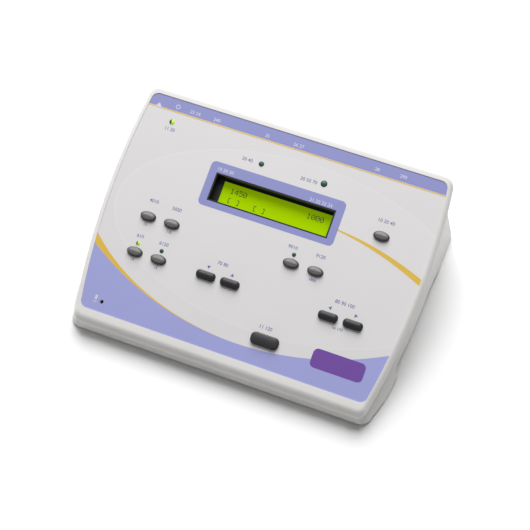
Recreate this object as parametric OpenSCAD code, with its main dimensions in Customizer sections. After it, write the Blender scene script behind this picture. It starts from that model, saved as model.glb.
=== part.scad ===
// Desktop audiometer: a wedge-shaped two-shell case with a sloping key panel,
// a recessed two-line display, twelve travelling keys and a rear socket panel.
// +X is the operator's right, +Y the rear, +Z up. The origin is on the table
// under the middle of the case. Millimetres and degrees.

/* [Case] */
// Width across the foot of the case
case_w = 270; // [262:1:290]
// Depth of the case, front to rear
case_d = 194; // [190:1:210]
// Width across the raised rim at its front corners
rim_front_w = 239.5; // [238:0.5:250]
// Width across the raised rim at its rear corners
rim_rear_w = 253; // [250:0.5:260]
// How far each side of the rim bows out between its corners
rim_bow = 9; // [6:0.5:10]
// How much narrower each side of the foot is at the front corners
foot_taper = 14; // [8:0.5:15]
// Wall thickness of both shells
wall = 2.5; // [1.8:0.1:3.2]
// Radius of the rounding along the rim
rim_r = 5; // [2.5:0.25:6]
// How far the rounding reaches in from the rear edge of the rim
rear_rim_r = 2; // [1:0.25:5]
// Radius of the case's upright corners
corner_r = 8; // [5:0.5:12]
// Radius of the foot's corners
foot_r = 10; // [8:0.5:14]
// How far the walls draw in from the rim to the seam
waist = 1.8; // [0.5:0.1:2.5]
// How far the rear wall leans in from the foot to the seam
seam_back = 4; // [2:0.25:5]
// How far the rear wall leans in from the foot to the rim
rim_back = 5.9; // [5:0.1:7]
// Height of the seam between the shells at the front
seam_front_z = 9; // [8:0.25:10]
// Slope of the seam
seam_tilt = 9.9; // [8:0.1:12]
// Depth and half height of the groove along the seam
seam_groove = 0.4; // [0.3:0.1:1]
// Height of the base above the table
foot_gap = 1; // [0.6:0.1:2]

/* [Finger scoops] */
// Distance of each side scoop from the front of the case
scoop_start = 48; // [44:1:60]
// Length of each side scoop
scoop_l = 112; // [80:1:120]
// Height of each side scoop above the table
scoop_h = 12; // [9:0.5:14]
// Depth of each side scoop, inward from the foot
scoop_d = 14; // [8:0.5:15]

/* [Panel] */
// Slope of the key panel
panel_tilt = 19; // [17:0.25:20]
// Height of the front edge of the printed faceplate
panel_front_z = 19.7; // [19:0.1:22]
// Distance of the faceplate's front edge behind the front of the case
panel_inset = 10; // [9:0.25:12]
// Width of the rim behind the faceplate
rim_rear = 5.2; // [4.6:0.1:8]
// Width of rim beside the faceplate
rim_side = 4.5; // [4.2:0.1:6]
// Height of the rim above the faceplate
rim_h = 0.4; // [0.3:0.1:1.2]
// Corner radius of the faceplate
plate_r = 6; // [3:0.5:9]
// Thickness of the faceplate
plate_t = 0.5; // [0.3:0.1:0.8]
// Thickness of the cover under the faceplate
panel_t = 2.5; // [2:0.1:3]
// Side gap of a piece that stands in a hole
fit_gap = 0.15; // [0.1:0.05:0.2]

/* [Display] */
// Middle of the display window across the panel
window_u = -1.8; // [-4:0.1:4]
// Middle of the display window up the panel, as a share of the faceplate's length
window_share = 0.6743; // [0.666:0.001:0.684]
// Width of the display window
window_w = 100; // [98:0.5:102]
// Height of the display window
window_h = 23.2; // [22:0.2:24]
// Depth of the display below the faceplate
display_depth = 8; // [7:0.1:9]
// Wall of the black bezel that lines the window
bezel_wall = 1; // [0.8:0.1:1.4]
// Width of the bezel's hidden flange
bezel_lip = 2; // [1:0.1:2.2]
// Thickness of the bezel's hidden flange
bezel_lip_t = 1.2; // [0.8:0.1:1.6]
// Width of the visible glass
glass_w = 91; // [88:0.5:93]
// Height of the visible glass
glass_h = 18.8; // [17:0.2:19.4]
// Middle of the glass across the panel
glass_u = 0.5; // [-1:0.1:1]
// How far the middle of the glass lies ahead of the middle of the window
glass_drop = 0.7; // [0:0.1:1.3]
// Width of the display's metal frame
lcd_frame_w = 104; // [102:0.5:106]
// Height of the display's metal frame
lcd_frame_h = 27; // [25:0.5:28]
// Thickness of the sheet metal frame
lcd_frame_t = 0.8; // [0.6:0.1:1]
// Thickness of the display glass
lcd_glass_t = 1.4; // [1:0.1:2]
// Thickness of the backlight
lcd_light_t = 3.3; // [2.5:0.1:4]
// Width of the display's circuit board
lcd_board_w = 118; // [116:0.5:122]
// Height of the display's circuit board
lcd_board_h = 38; // [37:0.5:40]
// Distance of the display's screws from its board's edges
lcd_screw_in = 2.5; // [2.4:0.1:2.8]

/* [Keys] */
// Spacing of neighbouring keys
key_pitch = 20.1; // [19.6:0.1:20.6]
// Left key of the outer left pair
left_pair_u = -91.4; // [-93:0.1:-90]
// Left key of the level pair
level_pair_u = -31.2; // [-33:0.1:-29]
// Left key of the tone pair
tone_pair_u = 28.7; // [27:0.1:31]
// Left key of the frequency pair
frequency_pair_u = 69.6; // [68:0.1:71]
// Present key across the panel
present_u = 29.9; // [26:0.1:34]
// Talkover key across the panel
talkover_u = 88; // [86:0.1:90]
// Lower key row up the panel, as a share of the faceplate's length
lower_row_share = 0.2959; // [0.29:0.001:0.306]
// Upper key row up the panel, as a share of the faceplate's length
upper_row_share = 0.4605; // [0.454:0.001:0.465]
// Present key up the panel, as a share of the faceplate's length
present_share = 0.1132; // [0.104:0.001:0.126]
// Talkover key up the panel, as a share of the faceplate's length
talkover_share = 0.6918; // [0.678:0.001:0.705]
// Length of an oval key
oval_key_w = 12.6; // [11:0.2:13.4]
// Height of an oval key
oval_key_h = 7.2; // [6.4:0.2:8.6]
// Length of a long key
long_key_w = 15.4; // [13.4:0.2:17]
// Height of a long key
long_key_h = 6.3; // [5.8:0.1:8]
// Corner radius of a long key
long_key_r = 2.8; // [1.6:0.1:2.9]
// Length of the present key
present_key_w = 22.4; // [20:0.2:26]
// Height of the present key
present_key_h = 9.1; // [7.6:0.1:13]
// Corner radius of the present key
present_key_r = 3.8; // [2.4:0.1:3.8]
// Height of the keys above the faceplate
key_rise = 3.2; // [2.4:0.1:4]
// Travel of every key
key_travel = 1; // [0.6:0.1:1.2]
// Gap round each key
key_gap = 0.3; // [0.2:0.05:0.5]

/* [Switches] */
// Side of a key switch's body
switch_w = 12; // [10:0.5:12]
// Height of a key switch's body
switch_h = 4; // [3.4:0.1:4.2]
// Side of the square plunger in a key switch
plunger_w = 3.8; // [3:0.1:4.4]
// Gap between a plunger or a rocker and what guides it
slide_gap = 0.15; // [0.1:0.05:0.25]

/* [Lamps] */
// Diameter of the response lamp
large_lamp_d = 5.3; // [5:0.1:6]
// Diameter of the power and patient lamps
middle_lamp_d = 4.3; // [3.8:0.1:5]
// Diameter of the lamps above keys
small_lamp_d = 3.2; // [3:0.1:4.2]
// Height of the lamp domes above the faceplate
lamp_rise = 0.9; // [0.4:0.1:1.4]
// Distance of a small lamp above the middle of its key
lamp_above_key = 7.3; // [7:0.1:7.6]
// Patient and response lamps up the panel, as a share of the faceplate's length
status_lamp_share = 0.8329; // [0.826:0.001:0.842]
// Patient lamp across the panel
patient_lamp_u = -20.4; // [-24:0.1:-18]
// Response lamp across the panel
response_lamp_u = 32; // [30:0.1:34]
// Power lamp across the panel
power_lamp_u = -101; // [-102:0.1:-98]
// Power lamp up the panel, as a share of the faceplate's length
power_lamp_share = 0.8919; // [0.886:0.001:0.897]

/* [Microphone] */
// Microphone across the panel
mic_u = -102.2; // [-104:0.1:-100]
// Microphone up the panel, as a share of the faceplate's length
mic_share = 0.0454; // [0.038:0.001:0.055]
// Diameter of the sound hole
mic_hole_d = 3.2; // [2:0.1:4]
// Diameter of the microphone capsule
mic_d = 6; // [5:0.1:7]
// Length of the microphone capsule
mic_l = 5; // [4:0.1:6]
// Wall of the rubber boot round the microphone
boot_wall = 1.6; // [1:0.1:2]

/* [Boards] */
// Depth of the main board's face below the faceplate
board_depth = 11; // [10.8:0.1:11.6]
// Thickness of every circuit board
board_t = 1.6; // [1.2:0.1:1.8]
// Width of the main board
board_w = 220; // [218:0.5:222]
// Distance of the main board's front edge up the panel
board_front_v = 1; // [0:0.25:2]
// Distance of the main board's rear edge from the faceplate's rear edge
board_rear_in = 14.9; // [14.4:0.25:15.4]
// Gap between the main board's window and the display's board
board_window_gap = 3; // [2:0.25:4]
// Width of the flat display lead
lcd_ribbon_w = 40; // [20:1:60]
// How far the flat display lead lies left of the middle of the display
lcd_ribbon_shift = 8; // [-10:0.5:10]
// Length of the flat display lead along each board
lcd_ribbon_hold = 8; // [6:0.5:10]
// Width of the flat lead to the socket board
io_ribbon_w = 36; // [20:1:60]
// How far the flat lead leaves the main board ahead of its rear edge
io_ribbon_in = 16; // [15:0.25:18]
// Thickness of the flat leads
ribbon_t = 0.8; // [0.6:0.1:1]

/* [Rear sockets] */
// Half width of the opening in the rear wall
rear_open_half_w = 108; // [106:0.5:110]
// Lowest edge of the rear opening
rear_open_z0 = 16; // [15:0.5:18]
// Highest edge of the rear opening
rear_open_z1 = 56; // [54:0.5:58]
// How far the socket panel overlaps the opening's edges
rear_panel_lap = 4; // [3:0.25:4.5]
// Thickness of the socket panel
rear_panel_t = 2; // [1.5:0.1:2.5]
// Depth of the socket panel's face inside the rear of the case
rear_panel_in = 8.5; // [8:0.1:9.5]
// Height of the sockets' middle line
socket_z = 36; // [35:0.25:37]
// Distance between the socket panel and the socket board
socket_l = 18.9; // [17:0.1:20]
// Power rocker across the rear
rocker_x = -96; // [-98:0.5:-95]
// Supply socket across the rear
supply_x = -77; // [-78:0.5:-76]
// Printer socket across the rear
printer_x = -59; // [-60:0.5:-56]
// Computer socket across the rear
computer_x = -41; // [-42:0.5:-36]
// Input jack across the rear
input_x = -16; // [-20:0.5:-12]
// Response jack across the rear
response_x = 10; // [6:0.5:14]
// Left earphone jack across the rear
left_x = 64; // [58:0.5:66]
// Right earphone jack across the rear
right_x = 90; // [88:0.5:94]
// Bore of the four jacks
jack_bore_d = 6.4; // [6.35:0.05:6.5]
// Diameter of a jack's threaded neck
jack_neck_d = 9.4; // [9:0.1:10]
// Side of a jack's body
jack_w = 16; // [14:0.5:18]
// Width of a jack's nut across its flats
nut_w = 13; // [12:0.5:14]
// Bore of the round data sockets
data_bore_d = 8.8; // [8.4:0.1:9]
// Bore of the supply socket
supply_bore_d = 6; // [5.9:0.05:6.2]

/* [Power rocker] */
// Height of the rocker switch's body
rocker_body_h = 19.2; // [19:0.1:20]
// Width of the rocker switch's body
rocker_body_w = 12.8; // [12:0.1:14]
// Tilt of the rocker to each side
rocker_tilt = 10; // [6:0.5:10]
// Diameter of the rocker's pivot pin
rocker_pin_d = 2; // [1.6:0.1:2.4]

/* [Fasteners and feet] */
// Diameter of the board screws
board_screw_d = 3; // [2.6:0.1:3.2]
// Length of the board screws under their heads
board_screw_l = 7; // [6:0.5:8]
// Diameter of the case screws
case_screw_d = 3.2; // [3:0.1:3.6]
// Length of the case screws under their heads
case_screw_l = 12; // [11:0.5:13]
// Gap round a screw in its boss
screw_gap = 0.05; // [0.02:0.01:0.1]
// Case screws, distance from the middle of the case
case_screw_x = 115.7; // [115.2:0.1:116.4]
// Front case screws, distance behind the front of the case
front_screw_in = 25; // [23:0.5:28]
// Rear case screws, distance ahead of the rear of the case
rear_screw_in = 16; // [15.5:0.25:17]
// Diameter of the rubber feet
foot_d = 14; // [10:0.5:16]
// Thickness of the rubber feet
foot_t = 2.4; // [2:0.1:2.6]
// Distance of the feet from the front and the rear of the case
foot_in = 17; // [15:0.5:20]
// Distance of the feet from the middle of the case
foot_x = 98; // [90:0.5:102]

/* [Hidden] */

$fn = 48;
eps = 0.01;
cut = 1;
front_y = -case_d / 2;
rear_y = case_d / 2;
plate_y = front_y + panel_inset;
panel_slope = tan(panel_tilt);
seam_slope = tan(seam_tilt);
panel_l = (case_d - panel_inset - rim_back - rim_rear) / cos(panel_tilt);
window_v = window_share * panel_l;
glass_v = window_v - glass_drop;
lower_row_v = lower_row_share * panel_l;
upper_row_v = upper_row_share * panel_l;
present_v = present_share * panel_l;
talkover_v = talkover_share * panel_l;
status_lamp_v = status_lamp_share * panel_l;
power_lamp_v = power_lamp_share * panel_l;
mic_v = mic_share * panel_l;
board_rear_v = panel_l - board_rear_in;
cover_under = -plate_t - panel_t;
floor_z = foot_gap + wall;
arc_steps = 5;
side_steps = 10;
key_steps = 32;
// Rounded lower edge of the foot: inset at the front and sides, inset at the rear, height
FOOT_EDGE = [[1.6, 1.2, 0], [0.5, 0.4, 0.6], [0, 0, 2]];
inner_edge = 2.5;
// How sharply the foot's sides turn in towards the front corners
foot_curve = 7;

// Keys: place across the panel, place up the panel, length, height,
// and the corner radius of a long key or 0 for an oval one
menu = [left_pair_u, upper_row_v, oval_key_w, oval_key_h, 0];
print = [left_pair_u + key_pitch, upper_row_v, oval_key_w, oval_key_h, 0];
left = [left_pair_u, lower_row_v, oval_key_w, oval_key_h, 0];
right = [left_pair_u + key_pitch, lower_row_v, oval_key_w, oval_key_h, 0];
level_down = [level_pair_u, lower_row_v, long_key_w, long_key_h, long_key_r];
level_up = [level_pair_u + key_pitch, lower_row_v, long_key_w, long_key_h, long_key_r];
tone = [tone_pair_u, upper_row_v, oval_key_w, oval_key_h, 0];
auto = [tone_pair_u + key_pitch, upper_row_v, oval_key_w, oval_key_h, 0];
frequency_down = [frequency_pair_u, lower_row_v, long_key_w, long_key_h, long_key_r];
frequency_up = [frequency_pair_u + key_pitch, lower_row_v, long_key_w, long_key_h, long_key_r];
talkover = [talkover_u, talkover_v, oval_key_w, oval_key_h, 0];
present = [present_u, present_v, present_key_w, present_key_h, present_key_r];
KEYS = [menu, print, left, right, level_down, level_up,
        tone, auto, frequency_down, frequency_up, talkover, present];

// Lamps: place across the panel, place up the panel, diameter
power_lamp_at = [power_lamp_u, power_lamp_v, middle_lamp_d];
patient_lamp_at = [patient_lamp_u, status_lamp_v, middle_lamp_d];
response_lamp_at = [response_lamp_u, status_lamp_v, large_lamp_d];
left_lamp_at = [left[0], left[1] + lamp_above_key, small_lamp_d];
right_lamp_at = [right[0], right[1] + lamp_above_key, small_lamp_d];
tone_lamp_at = [tone[0], tone[1] + lamp_above_key, small_lamp_d];
LAMPS = [power_lamp_at, patient_lamp_at, response_lamp_at,
         left_lamp_at, right_lamp_at, tone_lamp_at];

// Levels along the panel's normal, 0 at the faceplate's face
board_top = -board_depth;
switch_top = board_top + switch_h;
rest_gap = 0.4;
key_bottom = switch_top + key_travel + rest_gap;
pocket_floor = board_top + 0.2;
plunger_bottom = pocket_floor + key_travel + rest_gap / 2;
lamp_base = -6.5;
lamp_flange = 0.5;
lead_pitch = 2.54;
lead_w = 0.5;
mic_face = cover_under - 0.3;
// Profile of a key's edge: distance below the crown, inset
KEY_EDGE = [[1.8, 0], [1.2, 0.15], [0.6, 0.6], [0.25, 1.2], [0.06, 1.9], [0, 2.5]];
lcd_face = -display_depth;
lcd_glass_top = lcd_face - lcd_frame_t;
lcd_light_top = lcd_glass_top - lcd_glass_t;
lcd_board_top = lcd_light_top - lcd_light_t;
lcd_board_bottom = lcd_board_top - board_t;
board_bottom = board_top - board_t;
lcd_frame_in = 2 * (lcd_frame_t + fit_gap);
LCD_INNER = [lcd_frame_w - lcd_frame_in, lcd_frame_h - lcd_frame_in];

// The display board's four screws and the main board's seven
lcd_screw_u = lcd_board_w / 2 - lcd_screw_in;
lcd_screw_v = lcd_board_h / 2 - lcd_screw_in;
LCD_SCREWS = [for (i = [-1, 1], j = [-1, 1]) [glass_u + i * lcd_screw_u, glass_v + j * lcd_screw_v]];
// Main board screws, as shares of the board's width and of the faceplate's length
BOARD_SCREW_SHARES = [[-0.473, 0.164], [0.473, 0.164], [-0.473, 0.552], [0.473, 0.552],
                      [-0.3545, 0.875], [0.4545, 0.875], [0.0364, 0.4155]];
BOARD_SCREWS = [for (s = BOARD_SCREW_SHARES) [s[0] * board_w, s[1] * panel_l]];
boss_r = board_screw_d / 2 + 1.4;
lcd_boss_r = board_screw_d / 2 + 1.1;
board_hole_r = board_screw_d / 2 + 0.2;
board_head_r = board_screw_d / 2 + 1.4;
board_head_h = 1.8;
slot_w = 0.8;
slot_l = 4;

// The case screws: x, y, height where the base's post meets the cover's boss
front_post_z = 10;
rear_post_z = 36;
CASE_SCREWS = [for (i = [-1, 1]) each [
    [i * case_screw_x, front_y + front_screw_in, front_post_z],
    [i * case_screw_x, rear_y - rear_screw_in, rear_post_z]]];
post_r = 4.2;
post_foot_z = foot_gap + 0.5;
screw_head_r = 3;
screw_head_h = 2.2;
counterbore_r = 3.3;
screw_seat = 4;
case_hole_r = case_screw_d / 2 + 0.3;

FEET = [for (i = [-1, 1], j = [-1, 1]) [i * foot_x, j * (case_d / 2 - foot_in)]];

// The rear: faces of the socket panel and of the socket board
panel_face_y = rear_y - rear_panel_in;
panel_back_y = panel_face_y - rear_panel_t;
io_face_y = panel_back_y - socket_l;
io_back_y = io_face_y - board_t;
io_x0 = -106;
io_x1 = 102;
io_z0 = 7;
io_z1 = 50;
JACKS = [input_x, response_x, left_x, right_x];
neck_out = 3.4;
nut_t = 2;
jack_back = 2;
socket_out = 1.5;
mouth_y = panel_face_y + socket_out;
data_shell_r = data_bore_d / 2 + 0.8;
data_depth = 6.5;
data_body_w = 14;
contact_r = 0.6;
contact_ring_r = 2.4;
contact_depth = 10.5;
supply_neck_r = supply_bore_d / 2 + 1;
supply_depth = 10;
supply_front = 4.6;
supply_step = 0.2;
supply_pin_in = 4.8;
supply_pin_r = 1;
supply_body = [11, 13];

// The rocker, its cave in the switch body and the flange round it
pivot_y = panel_face_y - 4.5;
rocker_w = rocker_body_w - 3.4;
rocker_cave_w = rocker_w + 4 * slide_gap;
rocker_cave_h = rocker_body_h - 1.8;
rocker_cave_depth = 10;
rocker_flange = [2.4, 2.8];
rocker_pin_l = rocker_w + 2;
// Profile of the rocker round its pin, before it tilts: outward, then up
ROCKER = [[-2.6, -2.4], [2.4, -7.1], [6.3, -7.1], [4.7, 0], [6.3, 7.1], [2.4, 7.1], [-2.6, 2.4]];

// Edges of the socket panel, and the grooves and stands that hold the upright boards
rear_panel_z0 = rear_open_z0 - rear_panel_lap;
rear_panel_z1 = rear_open_z1 + rear_panel_lap;
rear_panel_half_w = rear_open_half_w + rear_panel_lap;
groove_w = 12;
groove_lip = 2;
groove_hold = 3;
BASE_GROOVES = [-96, 0, 96];
COVER_GROOVES = [-80, 0, 80];
IO_STANDS = [-90, 30, 84];
stand_w = 10;
stand_wall = 2;
stand_hold = 5;

// The lead from the main board to the socket board
io_ribbon_x = 20;
io_ribbon_v = board_rear_v - io_ribbon_in;
io_ribbon_run = 7;
io_ribbon_drop = 17;

// Integrated circuits on the main board: place as shares of the board's width and of
// the faceplate's length, length, width, height
CHIPS = [[-0.227, 0.142, 26, 26, 3], [-0.0455, 0.131, 30, 9, 3.6], [0.282, 0.12, 18, 9, 3.6],
         [-0.382, 0.689, 20, 9, 3.6], [-0.382, 0.7764, 20, 9, 3.6], [0.3545, 0.5905, 18, 9, 3.6],
         [0, 0.864, 24, 9, 3.6]];

// Height of the seam and of the faceplate's plane at a given depth
function seam_z(y) = seam_front_z + (y - front_y) * seam_slope;
function panel_z(y, level) = panel_front_z + (y - plate_y) * panel_slope + level / cos(panel_tilt);

// Half width of the rim and of the foot at a given depth
function share(y) = (y - front_y) / case_d;
function rim_half(y) = let (s = share(y))
    rim_front_w / 2 + (rim_rear_w - rim_front_w) / 2 * s + 4 * rim_bow * s * (1 - s);
function foot_half(y) = case_w / 2 - foot_taper * pow(1 - max(share(y), 0), foot_curve);

// A barrel-sided outline with rounded corners, counter-clockwise from the front right.
// half[i] is the half width at the i-th of the evenly spaced depths from y0 to y1.
function side_y(y0, y1, r, i) = y0 + r + (y1 - y0 - 2 * r) * i / side_steps;
function outline(y0, y1, r, half) = concat(
    [for (i = [0:arc_steps - 1]) let (a = -90 + 90 * i / arc_steps)
        [half[0] - r + r * cos(a), y0 + r + r * sin(a)]],
    [for (i = [0:side_steps]) [half[i], side_y(y0, y1, r, i)]],
    [for (i = [1:arc_steps]) let (a = 90 * i / arc_steps)
        [half[side_steps] - r + r * cos(a), y1 - r + r * sin(a)]],
    [for (i = [0:arc_steps - 1]) let (a = 90 + 90 * i / arc_steps)
        [-half[side_steps] + r + r * cos(a), y1 - r + r * sin(a)]],
    [for (i = [0:side_steps]) [-half[side_steps - i], side_y(y0, y1, r, side_steps - i)]],
    [for (i = [1:arc_steps]) let (a = 180 + 90 * i / arc_steps)
        [-half[0] + r + r * cos(a), y0 + r + r * sin(a)]]);

// The rim's outline and the foot's outline, drawn in by d, and by rear_d at the rear
function rim_outline(d, rear_d) = let (
    y0 = front_y + d, y1 = rear_y - rear_d, r = max(corner_r - d, 1))
    outline(y0, y1, r, [for (i = [0:side_steps]) rim_half(side_y(y0, y1, r, i)) - d]);
function foot_outline(d, rear_d) = let (
    y0 = front_y + d, y1 = rear_y - rear_d, r = max(foot_r - d, 1))
    outline(y0, y1, r, [for (i = [0:side_steps]) foot_half(side_y(y0, y1, r, i)) - d]);
function at_level(points, z) = [for (p = points) [p[0], p[1], z]];
function at_seam(points, rise) = [for (p = points) [p[0], p[1], seam_z(p[1]) + rise]];
function at_panel(points, level) = [for (p = points) [p[0], p[1], panel_z(p[1], level)]];

// Outlines of the faceplate and of the keys, in the panel's own plane
function plate_half(v) = rim_half(plate_y + v * cos(panel_tilt)) - rim_side;
function plate_outline(d) = let (y0 = d, y1 = panel_l - d, r = plate_r - d)
    outline(y0, y1, r, [for (i = [0:side_steps]) plate_half(side_y(y0, y1, r, i)) - d]);
function key_outline(key, d) = [for (i = [0:key_steps - 1]) let (
    t = 360 * (i + 0.5) / key_steps, a = key[2] / 2 + d, b = key[3] / 2 + d,
    r = key[4] * 2 * b / key[3])
    key[4] == 0 ? [a * cos(t), b * sin(t)]
                : [(a - r) * sign(cos(t)) + r * cos(t), (b - r) * sign(sin(t)) + r * sin(t)]];

// A closed skin through rings of points, each ring counter-clockwise seen from above
module skin(rings) {
    n = len(rings[0]);
    top = (len(rings) - 1) * n;
    sides = [for (k = [0:len(rings) - 2], i = [0:n - 1]) let (j = (i + 1) % n, low = k * n)
        each [[low + i, low + n + i, low + n + j], [low + i, low + n + j, low + j]]];
    polyhedron([for (ring = rings) each ring],
        concat([[for (i = [0:n - 1]) i]], sides, [[for (i = [n - 1:-1:0]) top + i]]));
}

// Places its children on the panel: x across, y up the slope, z out of the face
module on_panel(at = [0, 0]) {
    translate([0, plate_y, panel_front_z])
        rotate([panel_tilt, 0, 0])
            translate([at[0], at[1], 0])
                children();
}

// A box on the panel between two levels
module panel_box(at, size, low, high) {
    on_panel(at)
        translate([-size[0] / 2, -size[1] / 2, low])
            cube([size[0], size[1], high - low]);
}

// A rod along the panel's normal between two levels
module panel_rod(at, r, low, high) {
    on_panel(at)
        translate([0, 0, low])
            cylinder(h = high - low, r = r);
}

// A rod along +Y between two depths, at height z
module rear_rod(x, r, y0, y1, z = socket_z) {
    translate([x, y0, z])
        rotate([-90, 0, 0])
            cylinder(h = y1 - y0, r = r);
}

// A box along Y between two depths, centred across and in height
module rear_box(x, w, h, y0, y1, z = socket_z) {
    translate([x - w / 2, y0, z - h / 2])
        cube([w, y1 - y0, h]);
}

// One side scoop, grown by m on every side, as seen from the side of the case
module scoop(m) {
    y0 = front_y + scoop_start - m;
    y1 = front_y + scoop_start + scoop_l + m;
    x0 = case_w / 2 - scoop_d - m;
    high = scoop_h + m;
    side = [[y0, -cut], [y0, high - 6], [y0 + 2, high - 2.6], [y0 + 10, high],
            [y1 - 34, high], [y1 - 8, 3 + m], [y1, -cut]];
    for (flip = [0, 1])
        mirror([flip, 0, 0])
            translate([x0, 0, 0])
                rotate([90, 0, 90])
                    linear_extrude(height = case_w)
                        polygon(side);
}

// A bar from the rear wall, with a slot that holds the socket panel's edge
module panel_groove(z0, z1, edge_z, x, y1) {
    y0 = panel_back_y - groove_lip;
    slot_z = edge_z > (z0 + z1) / 2 ? [edge_z - fit_gap, z1 + cut] : [z0 - cut, edge_z + fit_gap];
    difference() {
        translate([x - groove_w / 2, y0, z0])
            cube([groove_w, y1 - y0, z1 - z0]);
        translate([x - groove_w / 2 - cut, panel_back_y - fit_gap, slot_z[0]])
            cube([groove_w + 2 * cut, rear_panel_t + 2 * fit_gap, slot_z[1] - slot_z[0]]);
    }
}

// A stand on the base's floor, with a slot for the socket board's lower edge
module io_stand(x) {
    z0 = floor_z - 0.5;
    difference() {
        translate([x - stand_w / 2, io_back_y - stand_wall, z0])
            cube([stand_w, board_t + 2 * stand_wall, io_z0 + stand_hold - floor_z]);
        translate([x - stand_w / 2 - cut, io_back_y - fit_gap, io_z0 - fit_gap])
            cube([stand_w + 2 * cut, board_t + 2 * fit_gap, 2 * stand_hold]);
    }
}

module rear_opening() {
    translate([-rear_open_half_w, panel_face_y, rear_open_z0])
        cube([2 * rear_open_half_w, rear_y + cut - panel_face_y, rear_open_z1 - rear_open_z0]);
}

// The base's outer form: a rounded foot that draws in to the seam
module base_form() {
    skin(concat(
        [for (e = FOOT_EDGE) at_level(foot_outline(e[0], e[1]), foot_gap + e[2])],
        [at_seam(rim_outline(waist, seam_back), -seam_groove),
         at_seam(rim_outline(waist + seam_groove, seam_back + seam_groove), 0)]));
}

module base_cavity() {
    skin([
        at_level(foot_outline(wall + inner_edge, wall), floor_z),
        at_seam(rim_outline(waist + wall, seam_back + wall), cut)]);
}

module base() {
    color("gainsboro")
        difference() {
            union() {
                difference() {
                    base_form();
                    difference() {
                        base_cavity();
                        scoop(wall);
                    }
                }
                for (s = CASE_SCREWS)
                    translate([s[0], s[1], post_foot_z])
                        cylinder(h = s[2] - post_foot_z, r = post_r);
                for (x = BASE_GROOVES)
                    panel_groove(floor_z - 0.5, rear_panel_z0 + groove_hold, rear_panel_z0,
                                 x, rear_y - wall);
                for (x = IO_STANDS)
                    io_stand(x);
            }
            scoop(0);
            rear_opening();
            for (s = CASE_SCREWS) {
                translate([s[0], s[1], 0])
                    cylinder(h = s[2] - screw_seat, r = counterbore_r);
                translate([s[0], s[1], 0])
                    cylinder(h = s[2] + cut, r = case_hole_r);
            }
            for (f = FEET)
                translate([f[0], f[1], 0])
                    cylinder(h = foot_t, r = foot_d / 2 + fit_gap);
        }
}

// The cover's outer form: up from the seam, out to the rim and round onto the panel
module cover_form() {
    skin(concat(
        [at_seam(rim_outline(waist + seam_groove, seam_back + seam_groove), 0),
         at_seam(rim_outline(waist, seam_back), seam_groove)],
        [for (a = [0:22.5:90]) let (turn = 1 - cos(a))
            at_panel(rim_outline(rim_r * turn, rim_back + rear_rim_r * turn),
                     rim_h - rim_r * (1 - sin(a)))]));
}

module cover_cavity() {
    skin([
        at_seam(rim_outline(waist + wall, seam_back + wall), -cut),
        at_panel(rim_outline(wall, rim_back + wall), cover_under - inner_edge),
        at_panel(rim_outline(wall + inner_edge, rim_back + wall + inner_edge), cover_under)]);
}

module panel_holes(low, high) {
    for (key = KEYS)
        on_panel(key)
            translate([0, 0, low])
                linear_extrude(height = high - low)
                    polygon(key_outline(key, key_gap));
    for (lamp = LAMPS)
        panel_rod(lamp, lamp[2] / 2 + fit_gap, low, high);
    panel_rod([mic_u, mic_v], mic_hole_d / 2, low, high);
    panel_box([window_u, window_v], [window_w + 2 * fit_gap, window_h + 2 * fit_gap], low, high);
}

// A blind hole in a boss for the screw that comes up through a board at this level
module screw_hole(at, level) {
    panel_rod(at, board_screw_d / 2 + screw_gap, level - cut, level + board_screw_l - board_t + 0.5);
}

module top_cover() {
    color("gainsboro")
        difference() {
            union() {
                difference() {
                    cover_form();
                    cover_cavity();
                }
                for (s = BOARD_SCREWS)
                    panel_rod(s, boss_r, board_top, cover_under + eps);
                for (s = LCD_SCREWS)
                    panel_rod(s, lcd_boss_r, lcd_board_top, cover_under + eps);
                for (s = CASE_SCREWS)
                    translate([s[0], s[1], s[2]])
                        cylinder(h = panel_z(s[1], cover_under + panel_t / 3) - s[2], r = post_r);
                for (x = COVER_GROOVES)
                    panel_groove(rear_panel_z1 - groove_hold, panel_z(panel_back_y, cover_under),
                                 rear_panel_z1, x, rear_y - rim_back - wall / 2);
            }
            on_panel()
                translate([0, 0, -plate_t])
                    linear_extrude(height = rim_h + plate_t + cut)
                        polygon(plate_outline(0));
            panel_holes(cover_under - cut, cut);
            rear_opening();
            for (s = BOARD_SCREWS)
                screw_hole(s, board_top);
            for (s = LCD_SCREWS)
                screw_hole(s, lcd_board_top);
            for (s = CASE_SCREWS)
                translate([s[0], s[1], s[2] - cut])
                    cylinder(h = case_screw_l - screw_seat + 1.5 * cut, r = case_screw_d / 2 + screw_gap);
        }
}

module faceplate() {
    color("whitesmoke")
        difference() {
            on_panel()
                translate([0, 0, -plate_t])
                    linear_extrude(height = plate_t)
                        polygon(plate_outline(fit_gap));
            panel_holes(-plate_t - cut, cut);
        }
}

module rear_panel() {
    color("dimgray")
        difference() {
            translate([-rear_panel_half_w, panel_back_y, rear_panel_z0])
                cube([2 * rear_panel_half_w, rear_panel_t, rear_panel_z1 - rear_panel_z0]);
            for (x = JACKS)
                rear_rod(x, jack_neck_d / 2 + fit_gap, panel_back_y - cut, panel_face_y + cut);
            for (x = [printer_x, computer_x])
                rear_rod(x, data_shell_r + fit_gap, panel_back_y - cut, panel_face_y + cut);
            rear_rod(supply_x, supply_neck_r + fit_gap, panel_back_y - cut, panel_face_y + cut);
            rear_box(rocker_x, rocker_body_w + 2 * fit_gap, rocker_body_h + 2 * fit_gap,
                     panel_back_y - cut, panel_face_y + cut);
        }
}

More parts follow.
